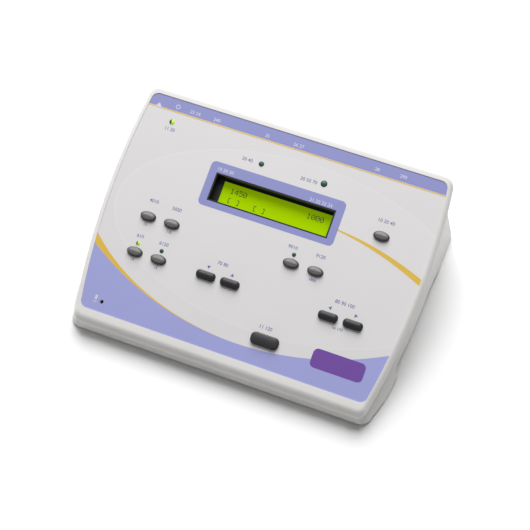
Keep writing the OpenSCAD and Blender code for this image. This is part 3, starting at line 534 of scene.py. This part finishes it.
def stripe_edge(start_v, end_v):
    """One edge of the gold stripe, which droops to the right of the display's plate."""
    start_u = stripe_start[0]
    return [(start_u + (side_u - start_u) * s,
             start_v + (end_v - start_v) * s + 4 * stripe_bulge * s * (1 - s))
            for s in steps(0, 1, count=30)]


lilac_ink = screen_ink("front_lilac_ink", front_lilac, roughness=0.45, drift=0.015)
rear_lilac_ink = screen_ink("rear_lilac_ink", rear_lilac, roughness=0.45, drift=0.015)
gold_ink = screen_ink("gold_ink", gold_colour, roughness=0.4, drift=0.02)
ink("rear_band", [strip(band_v, panel_l + overrun)], rear_lilac_ink, clip=True)
swell_edge = [(u, swell(u)) for u in steps(side_u, -side_u, count=90)]
front_field = ink("front_field", [[(-side_u, -overrun), (side_u, -overrun)] + swell_edge],
                  lilac_ink, clip=True)
sound_hole = disc(mic_at, (sound_hole_r, sound_hole_r))
carve(front_field, lofts("sound_hole", [slab(sound_hole, -overrun, overrun)]))
plate_print = ink("display_plate", [round_box(*display_plate)], rear_lilac_ink)
window = round_box(window_at, window_half, window_r)
carve(plate_print, lofts("window", [slab(window, -overrun, overrun)]))

crescent_us = steps(-side_u, 0, count=60)
crescent = [(u, swell(u)) for u in crescent_us[:-1]]
crescent += [(u, crescent_top(u)) for u in reversed(crescent_us)]
upper_end, lower_end = (v + (v - stripe_start[1]) * stripe_overrun for v in stripe_end_v)
stripe = stripe_edge(stripe_start[1] - stripe_start_half, lower_end)
stripe += reversed(stripe_edge(stripe_start[1] + stripe_start_half, upper_end))
line_top = band_v - gold_line_gap
gold_line = strip(line_top - gold_line_t, line_top)
gold_parts = {"gold_crescent": crescent, "gold_stripe": stripe, "gold_line": gold_line}
for name, part in gold_parts.items():
    ink(name, [part], gold_ink, clip=True)


# The blank badge: a plain purple plate with round corners, printed over the
# lilac field near the front right corner.
badge_at = (89.1 * mm, 21 * mm)
badge_half = (21 * mm, 7.6 * mm)
badge_r = 4 * mm
badge_colour = (0.175, 0.07, 0.365)
overprint = 0.03 * mm

badge = ink("badge", [round_box(badge_at, badge_half, badge_r)],
            screen_ink("purple_ink", badge_colour, roughness=0.4, drift=0.02))
first_coat, second_coat = (Vector(on_panel([(0, 0)], level)[0]) for level in (0, overprint))
badge.location = second_coat - first_coat


# The captions: plain numerals, screened in violet on the film and in white on the
# lilac, with arrows over the long keys and a few simple marks. Each is placed in
# millimetres across and up the panel.
caption_h, small_caption_h = 3.9 * mm, 3.1 * mm
caption_weight = 0.04 * mm
caption_level, caption_half_t = 0.015 * mm, 0.035 * mm
captions = (
    ("11 20", -100.5, 157.1), ("20 40", -32.2, 152.5), ("30 50 70", 19.8, 151.3),
    ("4010", -91.3, 97.5), ("5020", -71.5, 96.7), ("610", -91.7, 67.4),
    ("6120", -71.5, 67.3), ("70 80", -21.5, 67), ("80 90 100", 78.8, 67.5),
    ("9010", 25.9, 97), ("9120", 48.9, 96.7), ("10 20 40", 88.3, 138.7),
    ("11 120", 27.6, 30.5))
small_captions = (
    ("12", -91.4, 77.7), ("135", -71.1, 77.6), ("14", -91.1, 48),
    ("15", -71, 47.5), ("16 170", 79.7, 47.4), ("1800", 49, 77.2))
pale_captions = (
    ("19 20 30", -45.3, 138.3), ("21 22 23 24", 34.8, 137.4), ("23 24", -85.5, 175.8),
    ("240", -66.7, 175.6), ("25", -23.7, 175.8), ("26 27", 2.8, 175.7),
    ("28", 67.7, 176.3), ("290", 89, 176.8))
caption_colour = (0.19, 0.18, 0.38)
pale_colour = (0.66, 0.66, 0.78)
arrow_colour = (0.16, 0.145, 0.42)
arrow_r = 1.7 * mm
arrows = ((-31.3, 61.4, -90), (-11.4, 60.6, 90), (69.2, 61, 180), (89.7, 61.3, 0))
ring_mark = ((-100.7 * mm, 176.5 * mm), 1.9 * mm, 0.6 * mm)
bar_mark = ((-107.5 * mm, 10.4 * mm), (1 * mm, 1.9 * mm), 0.9 * mm)
dash_mark = ((-107.5 * mm, 6.9 * mm), (1.5 * mm, 0.3 * mm), 0.2 * mm)
triangle_mark = [
    (-119.2 * mm, 171.8 * mm), (-113.2 * mm, 171.8 * mm), (-116.2 * mm, 175.6 * mm)]


def numerals(text, high):
    """Figures of the plain built-in face, as a thin flat mesh."""
    line = bpy.data.curves.new("line", "FONT")
    line.body, line.size, line.offset = text, high, caption_weight
    line.extrude, line.resolution_u = caption_half_t, 3
    holder = bpy.data.objects.new("line", line)
    bpy.context.collection.objects.link(holder)
    ready = holder.evaluated_get(bpy.context.evaluated_depsgraph_get())
    mesh = bpy.data.meshes.new_from_object(ready)
    bpy.data.objects.remove(holder)
    return mesh


def printed_lines(name, lines, material, high=caption_h):
    """Lines of figures, each centred on its place on the panel."""
    shape = bmesh.new()
    for text, *place in lines:
        first = len(shape.verts)
        shape.from_mesh(numerals(text, high))
        shape.verts.ensure_lookup_table()
        fresh = shape.verts[first:]
        shift = []
        for axis in (0, 1):
            reach = [point.co[axis] for point in fresh]
            shift.append(place[axis] * mm - (min(reach) + max(reach)) / 2)
        for point in fresh:
            spot = (point.co.x + shift[0], point.co.y + shift[1])
            point.co = on_panel([spot], point.co.z + caption_level)[0]
    finish_piece(new_piece(name, shape), material)


def arrow(u, v, points_to):
    """A small triangle that points along this angle."""
    turn = [math.radians(points_to + 120 * i) for i in range(3)]
    return [(u * mm + arrow_r * math.cos(a), v * mm + arrow_r * math.sin(a)) for a in turn]


def ring_strips(at, r, thick, count=24):
    """A circle's line, as short strips."""
    outer, inner = (disc(at, (reach, reach), count) for reach in (r, r - thick))
    return [[outer[i - 1], outer[i], inner[i], inner[i - 1]] for i in range(count)]


pale_ink = screen_ink("pale_ink", pale_colour)
violet_ink = screen_ink("violet_ink", caption_colour)
printed_lines("captions", captions, violet_ink)
printed_lines("small_captions", small_captions, violet_ink, small_caption_h)
printed_lines("pale_captions", pale_captions, pale_ink)
ink("arrows", [arrow(*place) for place in arrows], screen_ink("arrow_ink", arrow_colour))
marks = ink("pale_marks", ring_strips(*ring_mark) + [
    round_box(*bar_mark), round_box(*dash_mark), triangle_mark], pale_ink)
marks.location = badge.location


# The key caps: solid satin plastic, seven small grey ovals and five charcoal
# bars. Each stands 3.2 mm proud in its hole, its edge rolled well over, and the
# rolled edge is painted darker than the top as painted shade.
key_rise, key_foot = 3.2 * mm, -5.6 * mm
key_crown, crown_share = 0.35 * mm, 0.9
oval_roll, bar_roll = (1.9 * mm, 1.5 * mm), (1.2 * mm, 1 * mm)
# The painted shade on a key's rolled edge is full from this depth below the top face and is
# gone by this one.
painted_shade_below, painted_shade_ends_above = 0.75 * mm, 0.42 * mm
# For each shape: the material's name, the top colour, and the darker colour painted on the
# rolled edge as painted shade.
key_colours_and_painted_shade = {
    "oval": ("grey_key", (0.178, 0.173, 0.167), (0.06, 0.06, 0.064)),
    "long": ("charcoal_key", (0.022, 0.022, 0.026), (0.01, 0.01, 0.012)),
    "present": ("present_key", (0.034, 0.033, 0.038), (0.018, 0.018, 0.021))}


def key_cap(key, roll_in, roll_down):
    """Rings from the foot of the key up its side, over a rolled edge, to a low crown."""
    crown_in = (key_halves[key_shape(key)][1] - roll_in) * crown_share
    shoulder = key_rise - key_crown
    profile = [(key_foot, 0)]
    profile += [(shoulder - roll_down * (1 - math.sin(a)), roll_in * (1 - math.cos(a)))
                for a in quarter_turn(8)]
    profile += [(key_rise - key_crown * (1 - s) ** 2, roll_in + crown_in * s)
                for s in (0.25, 0.5, 0.75, 1)]
    return lofts(key + "_cap", [
        [on_panel(key_outline(key, inset), level) for level, inset in profile]])


def key_plastic_with_painted_shade(name, top, edge):
    """Key plastic with painted shade: its rolled edge is painted darker than its top."""
    material = moulded(name, top, 0.42, grain=0.3 * mm, relief=0.006 * mm)
    nodes, links = material.node_tree.nodes, material.node_tree.links
    shader = nodes["Principled BSDF"]
    crown = shader.inputs["Base Color"].links[0].from_socket
    place = nodes.new("ShaderNodeTexCoord")
    height = nodes.new("ShaderNodeVectorMath")
    height.operation = "DOT_PRODUCT"
    normal = Vector((0, -panel_stand, panel_lie))
    height.inputs[1].default_value = normal
    face = normal.dot(on_panel([(0, 0)], key_rise)[0])
    share = nodes.new("ShaderNodeMapRange")
    share.inputs["From Min"].default_value = face - painted_shade_below
    share.inputs["From Max"].default_value = face - painted_shade_ends_above
    painted_shade_blend = nodes.new("ShaderNodeMix")
    painted_shade_blend.data_type = "RGBA"
    painted_shade_blend.inputs["A"].default_value = (*edge, 1)
    links.new(place.outputs["Object"], height.inputs[0])
    links.new(height.outputs["Value"], share.inputs["Value"])
    links.new(share.outputs["Result"], painted_shade_blend.inputs["Factor"])
    links.new(crown, painted_shade_blend.inputs["B"])
    links.new(painted_shade_blend.outputs["Result"], shader.inputs["Base Color"])
    return material


key_finishes = {shape: key_plastic_with_painted_shade(*coats) for shape, coats in key_colours_and_painted_shade.items()}
for key in keys:
    oval = key_shape(key) == "oval"
    cap = key_cap(key, *(oval_roll if oval else bar_roll))
    finish_piece(cap, key_finishes[key_shape(key)],
                 body=key.replace("_key", "_button"))
    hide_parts(key)


# The lamps: green moulded lenses, each a low dome just proud of the panel. Power
# and left are lit: the right half of each lit lens glows, and its left half is
# painted dark as painted shade. The others are dark.
lamp_rise, lamp_foot = 0.9 * mm, -6.5 * mm
dome_rings, dome_flat = 9, 0.06
lit_lamps = ("power_lamp", "left_lamp")
lit_colour = (0.42, 0.71, 0.0)
dark_colour = (0.016, 0.085, 0.052)
# Shares of the way across a lit lens, each with a level of its colour: dark painted shade
# up to the first, the full glow from the second.
painted_shade_edge = ((0.38, 0.1), (0.55, 1))


def lit_half_and_painted_shade(material, colour, glow):
    """Fills a lens's right half with the light of its die and paints its left half dark as
    painted shade.
    """
    nodes, links = material.node_tree.nodes, material.node_tree.links
    shader = nodes["Principled BSDF"]
    across = nodes.new("ShaderNodeTexCoord")
    split = nodes.new("ShaderNodeSeparateXYZ")
    half = shade_ramp(nodes, [(share, shaded(colour, level)) for share, level in painted_shade_edge])
    links.new(across.outputs["Generated"], split.inputs["Vector"])
    links.new(split.outputs["X"], half.inputs["Fac"])
    links.new(half.outputs["Color"], shader.inputs["Base Color"])
    links.new(half.outputs["Color"], shader.inputs["Emission Color"])
    shader.inputs["Emission Strength"].default_value = glow


dark_lens = moulded("dark_lens", dark_colour, 0.45, grain=1.2 * mm, drift=0.15)
lit_lens = moulded("lit_lens", lit_colour, 0.4, grain=1.2 * mm, drift=0.1)
lit_half_and_painted_shade(lit_lens, lit_colour, glow=0.4)
for lamp in lamps:
    at, r = panel_spot(lamp), lamp_r(lamp)
    profile = [(lamp_foot, r)]
    profile += [(lamp_rise - r / 2 * (1 - math.sin(a)), r * math.cos(a))
                for a in quarter_turn(dome_rings)[:-1]]
    profile += [(lamp_rise, r * dome_flat)]
    bulb = lofts(lamp + "_lens", [
        [on_panel(disc(at, (reach, reach), count=48), level) for level, reach in profile]])
    if lamp in lit_lamps:
        finish_piece(bulb, lit_lens)
    else:
        finish_piece(bulb, dark_lens)
    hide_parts(lamp)


# The display: a black bezel and a black sheet frame round a yellow-green glass,
# which shows two lines of dark dot figures, 9 mm below the panel.
glass_colour = (0.335, 0.56, 0.0)
glass_level = -8.8 * mm
dot_colour = (0.022, 0.085, 0.0)
dot, dot_gap, dot_half_t = 0.58 * mm, 0.06 * mm, 0.02 * mm
cell_pitch = 3.6 * mm
backlight, glass_gloss = 0.42, 0.02
figures = {
    "0": "01110 10001 10011 10101 11001 10001 01110",
    "1": "00100 01100 00100 00100 00100 00100 01110",
    "4": "00010 00110 01010 10010 11111 00010 00010",
    "5": "11111 10000 11110 00001 00001 10001 01110",
    "[": "01110 01000 01000 01000 01000 01000 01110",
    "]": "01110 00010 00010 00010 00010 00010 01110",
    " ": "00000 00000 00000 00000 00000 00000 00000"}
display_lines = (
    ("1450", -38.2 * mm, 128.3 * mm), ("1000", 26.4 * mm, 128.3 * mm),
    ("[ ]   [ ]", -38.2 * mm, 120.4 * mm))


def dots(text, u0, v0):
    """The dark dots of a line of figures, from its top left corner."""
    step = dot + dot_gap
    squares = []
    for place, figure in enumerate(text):
        for row, marks in enumerate(figures[figure].split()):
            for column, mark in enumerate(marks):
                if mark == "1":
                    u = u0 + place * cell_pitch + column * step
                    v = v0 - row * step
                    squares.append([(u, v - dot), (u + dot, v - dot), (u + dot, v), (u, v)])
    return squares


def dress(material, *nodes):
    """Gives CAD pieces that are shown as they are their finish."""
    for node in nodes:
        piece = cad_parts[node]
        piece.data.materials.clear()
        piece.data.materials.append(material)


display_dots = lofts("display_dots", [
    slab(square, glass_level - dot_half_t, glass_level + dot_half_t)
    for line in display_lines for square in dots(*line)])
finish_piece(display_dots, moulded("dark_dots", dot_colour, roughness=0.3))

display_green = moulded(
    "display_green", glass_colour, 0.3, grain=0.6 * mm, relief=0.002 * mm, drift=0.03)
backlit = display_green.node_tree.nodes["Principled BSDF"]
backlit.inputs["Emission Color"].default_value = (*glass_colour, 1)
backlit.inputs["Emission Strength"].default_value = backlight
backlit.inputs["Specular IOR Level"].default_value = glass_gloss
dress(display_green, "lcd_glass")
dress(moulded("black_bezel", (0.009, 0.01, 0.009), roughness=0.45), "display_bezel")
dress(moulded("black_frame", (0.011, 0.012, 0.011), roughness=0.35), "lcd_frame")


# What stands behind the panel: green boards with their chips, the key switches
# with their nylon plungers, the flat leads, the microphone in its boot, and the
# screws that hold it all.
def plated(name, colour, roughness):
    """Plated metal with a fine brushed grain."""
    material = moulded(
        name, colour, roughness, grain=0.2 * mm, relief=0.004 * mm, drift=0.05)
    material.node_tree.nodes["Principled BSDF"].inputs["Metallic"].default_value = 1
    return material


solder_mask = moulded(
    "solder_mask", (0.012, 0.12, 0.04), 0.3, grain=1.5 * mm, relief=0.02 * mm, drift=0.25)
black_plastic = moulded("black_plastic", (0.018, 0.018, 0.02), roughness=0.4)
capsule_felt = moulded(
    "capsule_felt", (0.012, 0.012, 0.012), 0.9, grain=0.2 * mm, relief=0.03 * mm)
plungers = [key.replace("_key", "_plunger") for key in keys]
dress(solder_mask, "main_board", "lcd_board", "io_board")
dress(moulded("black_epoxy", (0.014, 0.014, 0.015), roughness=0.55), "chips")
dress(black_plastic, "key_switches")
dress(moulded("light_guide", (0.6, 0.75, 0.3), roughness=0.3), "lcd_backlight")
dress(moulded("grey_ribbon", (0.42, 0.42, 0.43), roughness=0.5), "lcd_ribbon", "io_ribbon")
dress(moulded("nylon", (0.62, 0.6, 0.52), roughness=0.4), *plungers)
dress(moulded("boot_rubber", (0.018, 0.018, 0.018), roughness=0.7), "mic_boot")
dress(capsule_felt, "microphone")
dress(plated("zinc", (0.62, 0.62, 0.62), roughness=0.3), "board_screws", "case_screws")


# The rear: a dark plate held in grooves of both shells, with the power rocker,
# the supply socket, two data sockets and four quarter-inch jacks.
rear_plate = moulded(
    "rear_plate", (0.075, 0.077, 0.082), 0.5, grain=0.6 * mm, relief=0.02 * mm)
dress(rear_plate, "rear_panel")
dress(black_plastic, "rocker_body", "supply_socket", "printer_socket", "computer_socket",
      "input_jack", "response_jack", "left_jack", "right_jack")
dress(moulded("rocker_gloss", (0.012, 0.012, 0.013), roughness=0.2), "power_rocker")
dress(plated("nickel", (0.72, 0.7, 0.66), roughness=0.18), "jack_nuts")


# The feet: four discs of dark rubber, which are pressed into the base and lift
# it a millimetre off the table.
foot_rubber = moulded(
    "foot_rubber", (0.045, 0.045, 0.047), 0.75, grain=0.5 * mm, relief=0.03 * mm)
dress(foot_rubber, "feet")


# The setting: a plain pale floor that runs out of sight, and soft studio light
# from the rear left.
floor_half, floor_t = 12, 0.02
floor_colour = (0.94, 0.94, 0.94)
white, sky_light = (1, 1, 1, 1), 0.18


def softbox(name, at, aim, size, power):
    """A square lamp turned towards what it lights."""
    light = bpy.data.lights.new(name, "AREA")
    light.energy = power
    light.size = size
    holder = bpy.data.objects.new(name, light)
    holder.location = at
    holder.rotation_euler = (Vector(aim) - Vector(at)).to_track_quat("-Z", "Y").to_euler()
    bpy.context.collection.objects.link(holder)


floor_ring = plain_box((0, 0), (floor_half, floor_half))
floor = lofts("floor", [[at_level(floor_ring, z) for z in (-floor_t, 0)]])
floor.data.materials.append(
    moulded("floor_paint", floor_colour, 0.8, grain=3 * mm, drift=0.005))
world = bpy.data.worlds.new("studio")
world.use_nodes = True
background = world.node_tree.nodes["Background"]
background.inputs["Color"].default_value = white
background.inputs["Strength"].default_value = sky_light
bpy.context.scene.world = world
bpy.context.scene.view_settings.view_transform = "Standard"
softbox("rear_softbox", at=(-0.55, 1.7, 2.3), aim=(0, 0, 0), size=2.4, power=135)
